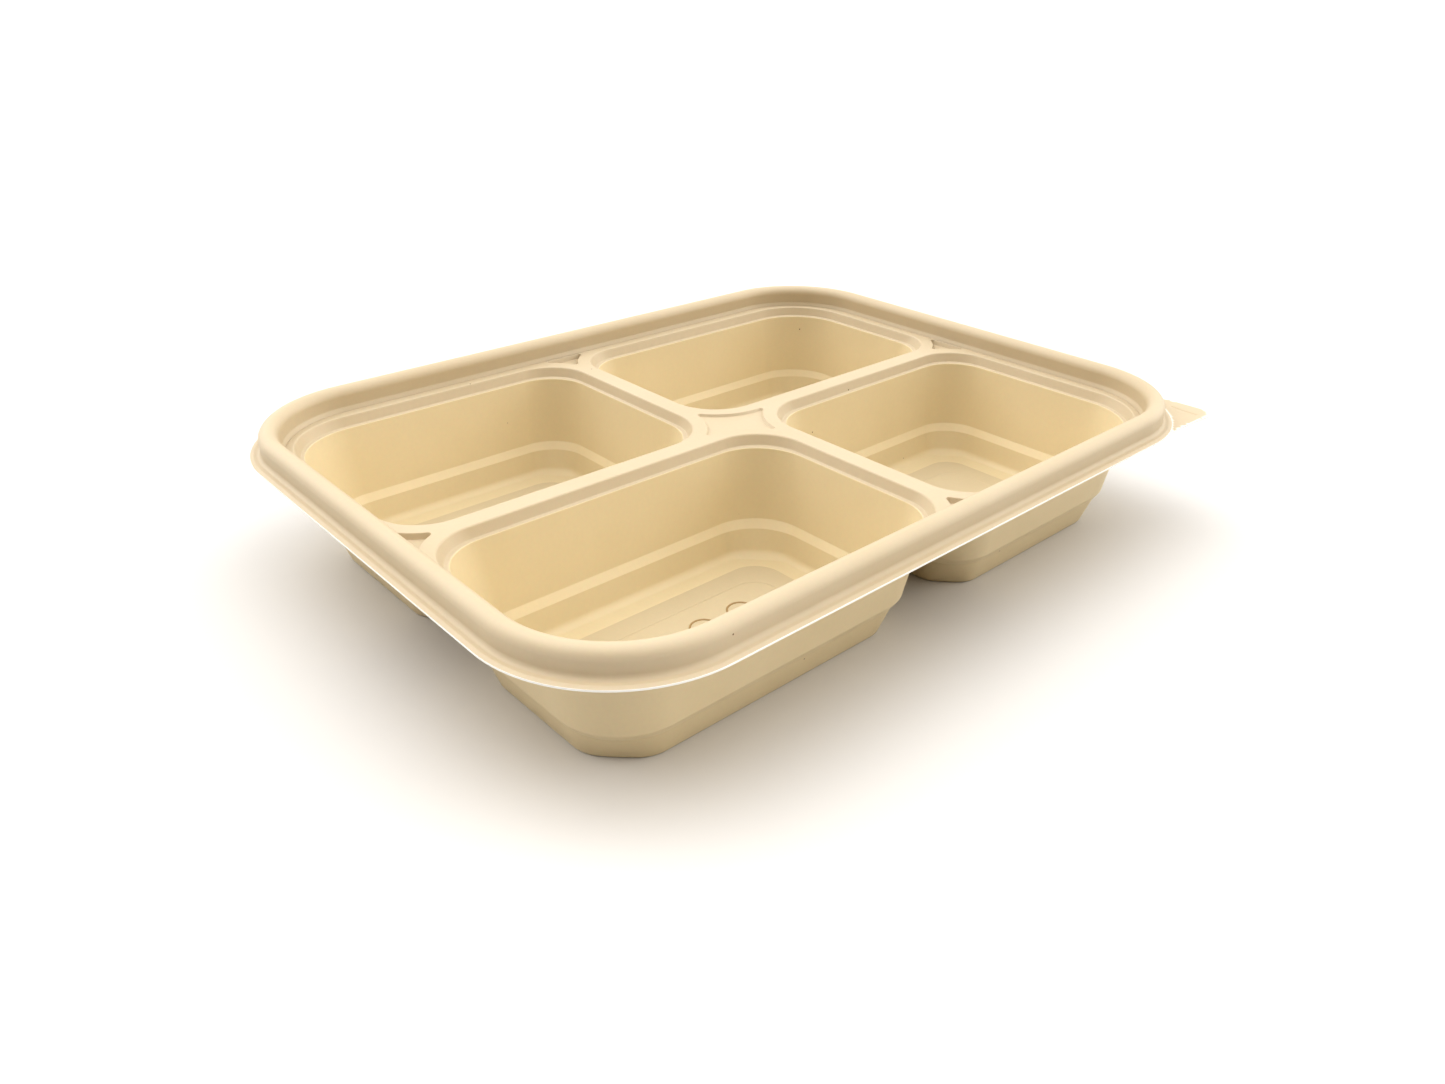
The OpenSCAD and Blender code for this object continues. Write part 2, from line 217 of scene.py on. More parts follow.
def corner_radius(kind, inset):
    insets = (0, STEP_LOW[0], FOOT_INSET, RAMP_INSET, PAD_INSET)
    radii = (MOUTH_R[kind], STEP_R[kind], STEP_R[kind], RAMP_R[kind], PAD_R)
    return float(np.interp(inset, insets, radii))


def cup_loop(cup, inset, back=0.0):
    """A cup's outline. With back, that of the sheet's other face, which is the outline further in
    moved out by back."""
    x0, x1, y0, y1 = MOUTHS[cup]
    further = max(inset + back, 0.0)
    moved_out = further - inset
    radii = [corner_radius(kind, further) + moved_out for kind in CORNER_KINDS[cup]]
    flat = float(np.interp(further, (STEP_LOW[0], FOOT_INSET, RAMP_INSET), (0, FOOT_FLATNESS, 0)))
    return rounded_loop(x0 + inset, x1 - inset, y0 + inset, y1 - inset, radii, flat)


def corner_centre(cup, corner):
    x0, x1, y0, y1 = MOUTHS[cup]
    r = MOUTH_R[CORNER_KINDS[cup][corner]]
    return np.array([x1 - r if corner in (0, 3) else x0 + r, y1 - r if corner < 2 else y0 + r])


def meeting(c1, c2, reach, towards):
    """The point at that reach from both centres, on the side of a third point."""
    middle, across = (c1 + c2) / 2, c2 - c1
    rise = math.sqrt(reach**2 - (np.linalg.norm(across) / 2) ** 2)
    normal = unit([-across[1], across[0]])
    if np.dot(towards - middle, normal) < 0:
        normal = -normal
    return middle + rise * normal


def hollow_loop(tips, sides, inset):
    """Outline of a recess. tips are the centres of its round corners, and sides[i], which joins tip i
    to the next, is ("arc", centre, radius), bowed into the recess, or ("line", outward normal)."""
    def outward(side, tip):
        return unit(side[1] - tip) if side[0] == "arc" else side[1]

    points, headings = [], []
    count = len(tips)
    for i, tip in enumerate(tips):
        first = heading(outward(sides[i - 1], tip))
        last = heading(outward(sides[i], tip))
        sweep = (last - first) % (2 * math.pi)
        for k in range(TIP_STEPS + 1):
            t = first + sweep * k / TIP_STEPS
            points.append(tip + (TIP_R - inset) * at(t))
            headings.append(t)
        side, after = sides[i], tips[(i + 1) % count]
        if side[0] == "arc":
            centre, radius = side[1], side[2]
            for k in range(1, RECESS_ARC_STEPS):
                share = k / RECESS_ARC_STEPS
                t = between(heading(tip - centre), heading(after - centre), share)
                points.append(centre + (radius + inset) * at(t))
                headings.append(t + math.pi)
        else:
            start = tip + (TIP_R - inset) * side[1]
            end = after + (TIP_R - inset) * side[1]
            for k in range(1, RECESS_LINE_STEPS):
                points.append(start + (end - start) * k / RECESS_LINE_STEPS)
                headings.append(heading(side[1]))
    return np.array(points), np.array(headings)


def star_shape():
    """The star at the centre: its tips, and the arcs round the cups' inner corners."""
    order = (("front", 0), ("right", 1), ("back", 2), ("left", 3))
    centres = [corner_centre(*c) for c in order]
    radius = MOUTH_R[INNER] + BAND
    middle = sum(centres) / 4
    tips = [meeting(centres[i - 1], centres[i], radius + TIP_R, middle) for i in range(4)]
    return tips, [("arc", c, radius) for c in centres]


POCKET_CORNERS = {
    "front": (("front", 3), ("right", 2)),
    "right": (("right", 0), ("back", 3)),
    "back": (("back", 1), ("left", 0)),
    "left": (("left", 2), ("front", 1)),
}
OUTWARD = {"front": (0, -1), "right": (1, 0), "back": (0, 1), "left": (-1, 0)}


def pocket_shape(side):
    """The recess where a divider meets the rim: two arcs and the straight edge by the bead."""
    out = np.array(OUTWARD[side], float)
    along = np.array([-out[1], out[0]])
    first, second = (corner_centre(*c) for c in POCKET_CORNERS[side])
    radius = MOUTH_R[SIDE] + BAND
    edge = (HALF_X if out[0] else HALF_Y) - DECK_START - POCKET_GAP
    tip = meeting(first, second, radius + TIP_R, (first + second) / 2 + out)
    deep = edge - TIP_R
    ends = []
    for centre, sign in ((first, 1), (second, -1)):
        reach = math.sqrt((radius + TIP_R) ** 2 - (deep - centre @ out) ** 2)
        ends.append(out * deep + along * (centre @ along + sign * reach))
    return [tip, *ends], [("arc", first, radius), ("line", out), ("arc", second, radius)]


# ---------------------------------------------------------------- profiles
def rounded_path(corners):
    """A path through corners (inset, height, fillet radius). Gives its points, its directions, and
    the index of the point that stands for each corner."""
    spots = [np.array(c[:2], float) for c in corners]
    ways = [unit(b - a) for a, b in zip(spots, spots[1:])]
    points, tangents, marks = [spots[0]], [ways[0]], [0]

    def straight(end, way):
        length = np.linalg.norm(end - points[-1])
        count = max(1, math.ceil(length / LONGEST_STEP))
        start = points[-1]
        for k in range(1, count + 1):
            if length > 1e-6:
                points.append(start + (end - start) * k / count)
                tangents.append(way)

    for i in range(1, len(spots) - 1):
        before, after, r = ways[i - 1], ways[i], corners[i][2]
        turn = math.atan2(before[0] * after[1] - before[1] * after[0], before @ after)
        cut = r * math.tan(abs(turn) / 2)
        straight(spots[i] - before * cut, before)
        if abs(turn) < SMALL:
            marks.append(len(points) - 1)
            continue
        side = math.copysign(1, turn)
        centre = points[-1] + side * r * np.array([-before[1], before[0]])
        arm = points[-1] - centre
        steps = max(2, 2 * math.ceil(abs(math.degrees(turn)) / ARC_DEGREES / 2))
        for k in range(1, steps + 1):
            c, s = math.cos(turn * k / steps), math.sin(turn * k / steps)
            spin = np.array([[c, -s], [s, c]])
            points.append(centre + spin @ arm)
            tangents.append(spin @ before)
            if k == steps // 2:
                marks.append(len(points) - 1)
    straight(spots[-1], ways[-1])
    marks.append(len(points) - 1)
    return np.array(points), np.array(tangents), marks


def other_face(corners, sheet):
    """The same path moved to the under side of a sheet."""
    spots = [np.array(c[:2], float) for c in corners]
    ways = [unit(b - a) for a, b in zip(spots, spots[1:])]
    down = [sheet * np.array([w[1], -w[0]]) for w in ways]
    moved = [(*(spots[0] + down[0]), 0)]
    for i in range(1, len(spots) - 1):
        turn = math.atan2(
            ways[i - 1][0] * ways[i][1] - ways[i - 1][1] * ways[i][0], ways[i - 1] @ ways[i]
        )
        half = unit(down[i - 1] + down[i])
        spot = spots[i] + half * sheet / (half @ down[i] / sheet)
        r = corners[i][2] + math.copysign(sheet, turn)
        moved.append((*spot, max(r, LEAST_FILLET)))
    moved.append((*(spots[-1] + down[-1]), 0))
    return moved


# ---------------------------------------------------------------- skins and pieces
def skin(path, first, last, loop, upper=True):
    """Rows of points and normals of a profile swept round a loop."""
    points, tangents, marks = path
    rows, normals = [], []
    for k in range(marks[first], marks[last] + 1):
        (o, z), (to, tz) = points[k], tangents[k]
        ring, headings = loop(o)
        behind, ahead = loop(o - SMALL * to)[0], loop(o + SMALL * to)[0]
        e = np.stack([np.cos(headings), np.sin(headings)], 1)
        outward = ((ahead - behind) * e).sum(1) / (2 * SMALL)
        n = np.column_stack([tz * e, -outward])
        n /= np.linalg.norm(n, axis=1)[:, None]
        rows.append(np.column_stack([ring, np.full(len(ring), z)]))
        normals.append(n if upper else -n)
    return np.array(rows), np.array(normals)


class Solid:
    """Collects the corners, faces and corner normals of one mesh."""

    def __init__(self):
        self.points, self.faces, self.normals, self.pale = [], [], [], []

    def add_points(self, points, pale=0.0):
        first = len(self.points)
        self.points += [tuple(p) for p in points]
        self.pale += list(np.broadcast_to(pale, len(points)))
        return first

    def add_face(self, corners, normals=None):
        if normals is None:
            a, b, c = (np.array(self.points[corners[i]]) for i in (0, 1, 2))
            n = np.cross(b - a, c - a)
            size = np.linalg.norm(n)
            n = n / size if size > 0 else np.array([0, 0, 1.0])
            normals = [n] * len(corners)
        self.faces.append(tuple(corners))
        self.normals += [tuple(n) for n in normals]

    def add_skin(self, rows, normals, upper=True, pale=None):
        """A grid of rows that close on themselves. Gives the index of each row's first point."""
        count = rows.shape[1]
        firsts = [self.add_points(row, 0.0 if pale is None else pale[i]) for i, row in enumerate(rows)]
        for i in range(len(rows) - 1):
            for j in range(count):
                k = (j + 1) % count
                corners = [(i, j), (i, k), (i + 1, k), (i + 1, j)]
                if not upper:
                    corners.reverse()
                self.add_face(
                    [firsts[a] + b for a, b in corners], [normals[a][b] for a, b in corners]
                )
        return firsts

    def add_seam(self, top, under, count, outward):
        """The wall between the edges of the two skins."""
        for j in range(count):
            k = (j + 1) % count
            corners = [top + j, under + j, under + k, top + k]
            self.add_face(corners if outward else corners[::-1])

    def add_cap(self, first, count, upper=True):
        corners = list(range(first, first + count))
        normal = (0, 0, 1.0 if upper else -1.0)
        self.add_face(corners if upper else corners[::-1], [normal] * count)

    def build(self, name, material, slot, *nodes):
        mesh = bpy.data.meshes.new(name)
        mesh.from_pydata([tuple(c * MM for c in p) for p in self.points], [], self.faces)
        mesh.materials.append(material)
        mesh.polygons.foreach_set("use_smooth", [True] * len(mesh.polygons))
        pale = mesh.attributes.new("pale", "FLOAT", "POINT")
        pale.data.foreach_set("value", np.array(self.pale, np.float32))
        mesh.normals_split_custom_set(self.normals)
        piece = bpy.data.objects.new(name, mesh)
        bpy.context.scene.collection.objects.link(piece)
        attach(piece, "root")
        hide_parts(*nodes)
        return piece


def ring_solid(over, under, over_span, under_span, loop, under_loop=None, pale=None):
    """A ring of the sheet, between two corners of its upper path and two of its under path."""
    solid = Solid()
    rows, normals = skin(over, *over_span, loop)
    shades = None if pale is None else [pale(row) for row in rows]
    top = solid.add_skin(rows, normals, pale=shades)
    rows, normals = skin(under, *under_span, under_loop or loop, upper=False)
    shades = None if pale is None else [pale(row) for row in rows]
    low = solid.add_skin(rows, normals, upper=False, pale=shades)
    count = rows.shape[1]
    solid.add_seam(top[0], low[0], count, True)
    solid.add_seam(top[-1], low[-1], count, False)
    return solid


def pan_solid(over, under, over_span, under_span, loop, under_loop=None):
    """As ring_solid, with its inner edges closed by flat floors instead of a seam."""
    solid = Solid()
    rows, normals = skin(over, *over_span, loop)
    top = solid.add_skin(rows, normals)
    rows, normals = skin(under, *under_span, under_loop or loop, upper=False)
    low = solid.add_skin(rows, normals, upper=False)
    count = rows.shape[1]
    solid.add_seam(top[0], low[0], count, True)
    solid.add_cap(top[-1], count)
    solid.add_cap(low[-1], count, upper=False)
    return solid


def inside(points, line):
    """Which points lie inside a closed outline."""
    x, y = points[:, 0][:, None], points[:, 1][:, None]
    x0, y0 = line[:, 0], line[:, 1]
    x1, y1 = np.roll(x0, -1), np.roll(y0, -1)
    spans = (y0 > y) != (y1 > y)
    rise = np.where(y1 == y0, 1.0, y1 - y0)
    crossing = x0 + (y - y0) * (x1 - x0) / rise
    return (spans & (x < crossing)).sum(1) % 2 == 1


def plate_solid(outlines, top, sheet, extra=(), pale_edge=False):
    """A thin plate. Its first outline is its edge, anticlockwise, and the others are its holes. top
    gives the height of its upper face at points, and extra is more points to mesh through."""
    lines = [np.asarray(line, float) for line in outlines]
    points, edges = [], []
    for line in lines:
        first, count = len(points), len(line)
        points += [Vector(p) for p in line]
        edges += [(first + j, first + (j + 1) % count) for j in range(count)]
    points += [Vector(p) for p in extra]
    found = delaunay_2d_cdt(points, edges, [], 0, 1e-7)
    flat = np.array([tuple(p) for p in found[0]])
    triangles = np.array(found[2])
    middles = flat[triangles].mean(1)
    keep = inside(middles, lines[0])
    for hole in lines[1:]:
        keep &= ~inside(middles, hole)
    triangles = triangles[keep]
    used = np.unique(triangles)
    renumber = np.full(len(flat), -1)
    renumber[used] = np.arange(len(used))
    flat, triangles = flat[used], renumber[triangles]
    high = top(flat)
    low = high - sheet
    slope_x = (top(flat + (SMALL, 0)) - top(flat - (SMALL, 0))) / (2 * SMALL)
    slope_y = (top(flat + (0, SMALL)) - top(flat - (0, SMALL))) / (2 * SMALL)
    normals = np.column_stack([-slope_x, -slope_y, np.ones(len(flat))])
    normals /= np.linalg.norm(normals, axis=1)[:, None]
    sides = [pair for a, b, c in triangles for pair in ((a, b), (b, c), (c, a))]
    both_ways = set(sides)
    rim_edges = [(a, b) for a, b in sides if (b, a) not in both_ways]
    on_edge = np.zeros(len(flat))
    if pale_edge:
        on_edge[[p[0] for p in rim_edges]] = 1.0
    solid = Solid()
    tops = solid.add_points(np.column_stack([flat, high]), on_edge)
    lows = solid.add_points(np.column_stack([flat, low]), on_edge)
    for a, b, c in triangles:
        solid.add_face([tops + a, tops + b, tops + c], normals[[a, b, c]])
        solid.add_face([lows + c, lows + b, lows + a], -normals[[c, b, a]])
    for a, b in rim_edges:
        solid.add_face([tops + a, lows + a, lows + b, tops + b])
    return solid


# ---------------------------------------------------------------- materials
# The one sheet takes tones fitted region by region. The upright walls and the band below the step are
# painted lighter than the flat rim, deck and floors: partly the drawn sheet's own tone, partly painted
# light.
CREAM = (0.63, 0.53, 0.375)  # the sheet's rim and deck
DRAWN_AND_PAINTED_LIGHT = (0.79, 0.68, 0.46)  # the cup walls, where the sheet is drawn thin: lighter partly from the drawn sheet's own tone, partly painted light
LEVEL = (0.64, 0.545, 0.375)  # and across the cups' floors
BETWEEN = (0.745, 0.635, 0.42)  # and between the two
CUT_HIGHLIGHT = (0.96, 0.955, 0.93)  # its cut edge, painted near-white: a painted highlight along the edge
MARK_SHADE = (0.42, 0.29, 0.14)  # the marks, painted dark brown: painted shade for the shade along their low ridges
GLOW = (0.98, 0.87, 0.60)  # tints the light that comes through
SPECK = (0.16, 0.09, 0.04)


def new_node(tree, kind, place, **values):
    node = tree.nodes.new(kind)
    node.location = place
    for key, value in values.items():
        setattr(node, key, value)
    return node


def sheet_material(name, colour):
    """Matte starch-filled plastic: faint clouds in its colour, a fine pressed grain, and sparse
    specks of husk. Some light comes through the sheet, warmer than what it reflects."""
    material = bpy.data.materials.new(name)
    material.use_nodes = True
    tree = material.node_tree
    tree.nodes.clear()
    link = tree.links.new
    place = new_node(tree, "ShaderNodeTexCoord", (-1400, 0)).outputs["Object"]

    clouds = new_node(tree, "ShaderNodeTexNoise", (-1200, 300))
    clouds.inputs["Scale"].default_value = 38.0
    clouds.inputs["Detail"].default_value = 3.0
    link(place, clouds.inputs["Vector"])
    tint = new_node(tree, "ShaderNodeValToRGB", (-1000, 300))
    tint.color_ramp.elements[0].position = 0.3
    tint.color_ramp.elements[0].color = (*[c * f for c, f in zip(colour, (0.985, 0.975, 0.95))], 1)
    tint.color_ramp.elements[1].position = 0.7
    tint.color_ramp.elements[1].color = (*[min(c * 1.012, 0.97) for c in colour], 1)
    link(clouds.outputs["Fac"], tint.inputs["Fac"])

    mottle = new_node(tree, "ShaderNodeTexNoise", (-1200, 0))
    mottle.inputs["Scale"].default_value = 900.0
    mottle.inputs["Detail"].default_value = 2.0
    link(place, mottle.inputs["Vector"])
    fine = new_node(tree, "ShaderNodeMix", (-800, 200), data_type="RGBA", blend_type="MULTIPLY")
    fine.inputs["Factor"].default_value = 0.06
    link(tint.outputs["Color"], fine.inputs["A"])
    link(mottle.outputs["Color"], fine.inputs["B"])

    cells = new_node(tree, "ShaderNodeTexVoronoi", (-1200, -300), feature="F1")
    cells.inputs["Scale"].default_value = 210.0
    link(place, cells.inputs["Vector"])
    near = new_node(tree, "ShaderNodeMapRange", (-1000, -250))
    near.inputs["From Min"].default_value = 0.03
    near.inputs["From Max"].default_value = 0.06
    near.inputs["To Min"].default_value = 1.0
    near.inputs["To Max"].default_value = 0.0
    link(cells.outputs["Distance"], near.inputs["Value"])
    chance = new_node(tree, "ShaderNodeSeparateColor", (-1000, -500))
    link(cells.outputs["Color"], chance.inputs["Color"])
    few = new_node(tree, "ShaderNodeMath", (-800, -500), operation="LESS_THAN")
    few.inputs[1].default_value = 0.07
    link(chance.outputs["Red"], few.inputs[0])
    mask = new_node(tree, "ShaderNodeMath", (-600, -300), operation="MULTIPLY")
    link(near.outputs["Result"], mask.inputs[0])
    link(few.outputs["Value"], mask.inputs[1])
    specked = new_node(tree, "ShaderNodeMix", (-400, 100), data_type="RGBA")
    link(mask.outputs["Value"], specked.inputs["Factor"])
    link(fine.outputs["Result"], specked.inputs["A"])
    specked.inputs["B"].default_value = (*SPECK, 1)

    # A per-point share paints the cut edge near-white: a painted highlight.
    edge = new_node(tree, "ShaderNodeAttribute", (-600, -100), attribute_name="pale")
    paler = new_node(tree, "ShaderNodeMix", (-200, 100), data_type="RGBA")
    link(edge.outputs["Fac"], paler.inputs["Factor"])
    link(specked.outputs["Result"], paler.inputs["A"])
    paler.inputs["B"].default_value = (*CUT_HIGHLIGHT, 1)

    grain = new_node(tree, "ShaderNodeTexNoise", (-1200, -800))
    grain.inputs["Scale"].default_value = 1500.0
    grain.inputs["Detail"].default_value = 4.0
    grain.inputs["Roughness"].default_value = 0.6
    link(place, grain.inputs["Vector"])
    bump = new_node(tree, "ShaderNodeBump", (-400, -500))
    bump.inputs["Strength"].default_value = 0.12
    bump.inputs["Distance"].default_value = 0.00012
    link(grain.outputs["Fac"], bump.inputs["Height"])
    rough = new_node(tree, "ShaderNodeMapRange", (-600, -700))
    rough.inputs["To Min"].default_value = 0.38
    rough.inputs["To Max"].default_value = 0.50
    link(grain.outputs["Fac"], rough.inputs["Value"])

    surface = new_node(tree, "ShaderNodeBsdfPrincipled", (0, 100))
    link(paler.outputs["Result"], surface.inputs["Base Color"])
    link(rough.outputs["Result"], surface.inputs["Roughness"])
    link(bump.outputs["Normal"], surface.inputs["Normal"])
    surface.inputs["IOR"].default_value = 1.46
    surface.inputs["Specular IOR Level"].default_value = 0.55
    through = new_node(tree, "ShaderNodeBsdfTranslucent", (0, -300))
    warm = new_node(tree, "ShaderNodeMix", (-200, -250), data_type="RGBA", blend_type="MULTIPLY")
    warm.inputs["Factor"].default_value = 1.0
    link(paler.outputs["Result"], warm.inputs["A"])
    warm.inputs["B"].default_value = (*GLOW, 1)
    link(warm.outputs["Result"], through.inputs["Color"])
    both = new_node(tree, "ShaderNodeMixShader", (300, 0))
    both.inputs["Fac"].default_value = 0.12
    link(surface.outputs["BSDF"], both.inputs[1])
    link(through.outputs["BSDF"], both.inputs[2])
    out = new_node(tree, "ShaderNodeOutputMaterial", (500, 0))
    link(both.outputs["Shader"], out.inputs["Surface"])
    return material


rim_stuff = sheet_material("rim_sheet", CREAM)
deck_stuff = sheet_material("deck_sheet", CREAM)
wall_stuff = sheet_material("wall_sheet", DRAWN_AND_PAINTED_LIGHT)
floor_stuff = sheet_material("floor_sheet", LEVEL)
base_stuff = sheet_material("base_sheet", BETWEEN)
# The marks' dark colour is painted shade.
mark_stuff = sheet_material("raised_marks", MARK_SHADE)


# ---------------------------------------------------------------- the rim
edge_mid = TAB_Z - RIM_SHEET / 2
rim_over = rounded_path([
    (0, edge_mid + 0.02, 0),
    (0, TAB_Z, 0.12),
    (EDGE_SLOPE, FLANGE_Z, 0.9),
    (BEAD_START, FLANGE_Z, 1.25),
    (BEAD_START, BEAD_TOP, BEAD_R),
    (BEAD_END, BEAD_TOP, BEAD_R),
    (BEAD_END, DECK_Z + 1.25, 1.3),
    (BEAD_END + 0.5, DECK_Z + 0.18, 0.25),
    (BEAD_END + 0.68, DECK_Z - 0.3, 0.08),
    (BEAD_END + 0.88, DECK_Z, 0.12),
    (DECK_START, DECK_Z, 0),
])
rim_under = rounded_path([
    (0, edge_mid - 0.02, 0),
    (0, TAB_Z - RIM_SHEET, 0.12),
    (EDGE_SLOPE, FLANGE_Z - RIM_SHEET, 0.4),
    (BEAD_START + RIM_SHEET, FLANGE_Z - RIM_SHEET, 0.2),
    (BEAD_START + RIM_SHEET, BEAD_TOP - RIM_SHEET, BEAD_R - RIM_SHEET),
    (BEAD_END - RIM_SHEET, BEAD_TOP - RIM_SHEET, BEAD_R - RIM_SHEET),
    (BEAD_END - RIM_SHEET, DECK_Z - DECK_SHEET, 0.3),
    (DECK_START, DECK_Z - DECK_SHEET, 0),
])


CUT_WIDTH = 0.06


def highlighted_cut_edge(row):
    """The cut edge of the sheet is painted near-white: a painted highlight where its edge catches the
    light.
    """
    inset = np.min(HALF_Y - np.abs(row[:, 1]))
    return 1.0 if inset < CUT_WIDTH else 0.0


# The flange's outermost row is painted near-white, a painted highlight.
ring_solid(rim_over, rim_under, (0, 3), (0, 3), rim_loop, pale=highlighted_cut_edge).build(
    "rim_flange_sheet", rim_stuff, "rim_sheet", "rim_flange"
)
ring_solid(rim_over, rim_under, (3, 6), (3, 6), rim_loop).build(
    "rim_bead_sheet", rim_stuff, "rim_sheet", "rim_bead"
)
ring_solid(rim_over, rim_under, (6, 10), (6, 7), rim_loop).build(
    "rim_crease_sheet", rim_stuff, "rim_sheet", "rim_crease"
)


# ---------------------------------------------------------------- the pull tab
TAB_TIP_R = 5.8
TAB_SWEEP_R = 100.0
TAB_INSET = 0.15  # how far the tab reaches in over the flange's edge
SWEEP_STEPS, TAB_TIP_STEPS, TAB_ROOT_STEPS = 20, 32, 48
TAB_MESHES = ((0.9, 1.4, math.inf), (0.22, 0.0, 1.3))  # pitch, and how near the groove it lies
CLEAR = 0.6  # pitches that a mesh point keeps from the outline
GROOVE_DEPTH = 0.22
GROOVE_HALF = 0.5
GROOVE_END = (-0.4, 5.6)
GROOVE_LENGTH = 8.2
GROOVE_TURN = math.radians(-5)
GROOVE_BEND_R = 38.0


def tab_outline():
    """From the corner arc out along one side, round the tip and back, and the arc's centre."""
    root = np.array([HALF_X - RIM_CORNER_R, -HALF_Y + RIM_CORNER_R])
    tip = np.array([HALF_X - TAB_TIP_R, -HALF_Y + TAB_TIP_R])
    span = np.linalg.norm(tip - root)
    to_root, to_tip = RIM_CORNER_R + TAB_SWEEP_R, TAB_TIP_R + TAB_SWEEP_R
    along = (to_root**2 - to_tip**2 + span**2) / (2 * span)
    aside = math.sqrt(to_root**2 - along**2)
    forward = unit(tip - root)
    left = np.array([-forward[1], forward[0]])
    centres = [root + along * forward - aside * left, root + along * forward + aside * left]
    points = []

    def sweep_side(centre, start, end):
        for k in range(SWEEP_STEPS + 1):
            t = between(heading(start - centre), heading(end - centre), k / SWEEP_STEPS)
            points.append(centre + TAB_SWEEP_R * at(t))

    sweep_side(centres[0], root, tip)
    first, last = heading(centres[0] - tip), heading(centres[1] - tip)
    sweep = (last - first) % (2 * math.pi)
    for k in range(1, TAB_TIP_STEPS):
        points.append(tip + TAB_TIP_R * at(first + sweep * k / TAB_TIP_STEPS))
    sweep_side(centres[1], tip, root)
    return np.array(points), root


def groove_gap(points):
    """Distance of points from the middle line of the groove, a gentle arc across the tab."""
    tip = np.array([HALF_X - TAB_TIP_R, -HALF_Y + TAB_TIP_R])
    end = tip + GROOVE_END
    down = np.array([math.sin(GROOVE_TURN), -math.cos(GROOVE_TURN)])
    aside = np.array([-down[1], down[0]])
    centre = end + down * GROOVE_LENGTH / 2 + aside * GROOVE_BEND_R
    reach = points - centre
    r = np.linalg.norm(reach, axis=1)
    bearing = np.arctan2(reach @ down, -(reach @ aside))
    past = np.maximum(np.abs(bearing) * GROOVE_BEND_R - GROOVE_LENGTH / 2, 0)
    return np.hypot(r - GROOVE_BEND_R, past)


def tab_top(points):
    """Height of the tab's face: flat, with the groove."""
    groove = GROOVE_DEPTH * np.exp(-((groove_gap(points) / GROOVE_HALF) ** 2))
    return TAB_Z - groove


def build_tab():
    """The tab continues the flange's lower edge, in a mesh fine enough to hold the groove."""
    side, root = tab_outline()
    first, last = heading(side[0] - root), heading(side[-1] - root)
    shares = [k / TAB_ROOT_STEPS for k in range(TAB_ROOT_STEPS + 1)]
    corner = [root + (RIM_CORNER_R - TAB_INSET) * at(between(last, first, k)) for k in shares]
    line = np.vstack([side, corner])
    low, high = line.min(0), line.max(0)
    extra = []
    for pitch, nearest, furthest in TAB_MESHES:
        xs = np.arange(low[0] + pitch / 2, high[0], pitch)
        ys = np.arange(low[1] + pitch / 2, high[1], pitch)
        grid = np.array([(x, y) for x in xs for y in ys])
        to_groove = groove_gap(grid)
        grid = grid[inside(grid, line) & (to_groove > nearest) & (to_groove < furthest)]
        to_edge = np.array([np.linalg.norm(line - p, axis=1).min() for p in grid])
        extra += list(grid[to_edge > CLEAR * pitch])
    solid = plate_solid([line], tab_top, RIM_SHEET, extra, pale_edge=True)
    solid.build("pull_tab_sheet", rim_stuff, "rim_sheet", "pull_tab")


build_tab()


# ---------------------------------------------------------------- the deck
STAR = star_shape()
POCKETS = {side: pocket_shape(side) for side in SIDES}


def recess(name, shape, depth, node):
    corners = [
        (-SLOPE_IN, DECK_Z, 0),
        (0, DECK_Z, 0.25),
        (RECESS_SLOPE, DECK_Z - depth, 0.22),
        (RECESS_SLOPE + 0.28, DECK_Z - depth, 0),
    ]
    over, under = rounded_path(corners), rounded_path(other_face(corners, DECK_SHEET))
    loop = lambda inset: hollow_loop(*shape, inset)
    solid = pan_solid(over, under, (0, 3), (0, 3), loop)
    solid.build(name, deck_stuff, "deck_sheet", node)


def deck_height(points):
    return np.full(len(points), DECK_Z)


holes = [cup_loop(cup, -LIP_REACH)[0] for cup in SIDES]
holes.append(hollow_loop(*STAR, -SLOPE_IN)[0])
holes += [hollow_loop(*POCKETS[side], -SLOPE_IN)[0] for side in SIDES]
plate_solid([rim_loop(DECK_START)[0], *holes], deck_height, DECK_SHEET).build(
    "deck_sheet_web", deck_stuff, "deck_sheet",
    "rim_band", "centre_web", *[side + "_divider" for side in SIDES],
)
recess("centre_star_recess", STAR, STAR_DEPTH, "centre_star")
for side in SIDES:
    recess(side + "_pocket_recess", POCKETS[side], POCKET_DEPTH, side + "_pocket")


# ---------------------------------------------------------------- the cups
cup_corners = [
    (-LIP_REACH, DECK_Z, 0),
    (0, DECK_Z, 0.6),
    (1.14, DECK_Z - 3.0, 0.45),
    (2.10, DECK_Z - 3.06, 0.42),
    (STEP_HIGH[0], STEP_HIGH[1], 0.8),
    (STEP_LOW[0], STEP_LOW[1], 0.8),
    (8.85, 1.37, 3.0),
    (RAMP_INSET, 0.7, 3.0),
    (PAD_INSET - 0.35, 0.7, 0.5),
    (PAD_INSET + 0.35, PAD_Z, 0.5),
    (PAD_INSET + 1.0, PAD_Z, 0),
]
FOOT_CORNER = 6
cup_over = rounded_path(cup_corners)
under_corners = other_face(cup_corners, CUP_SHEET)
under_corners[FOOT_CORNER] = (8.45, 0.0, FOOT_EDGE_R)
under_corners[FOOT_CORNER + 1] = (RAMP_INSET, 0.0, 0)
cup_under = rounded_path(under_corners)
CUP_PARTS = (  # name, first and last corner of its stretch, material, slot
    ("lip", 0, 3, deck_stuff, "deck_sheet"),
    ("wall", 3, 4, wall_stuff, "wall_sheet"),
    ("step", 4, 5, wall_stuff, "wall_sheet"),
    ("base", 5, 7, base_stuff, "floor_sheet"),
    ("floor", 7, 8, floor_stuff, "floor_sheet"),
)
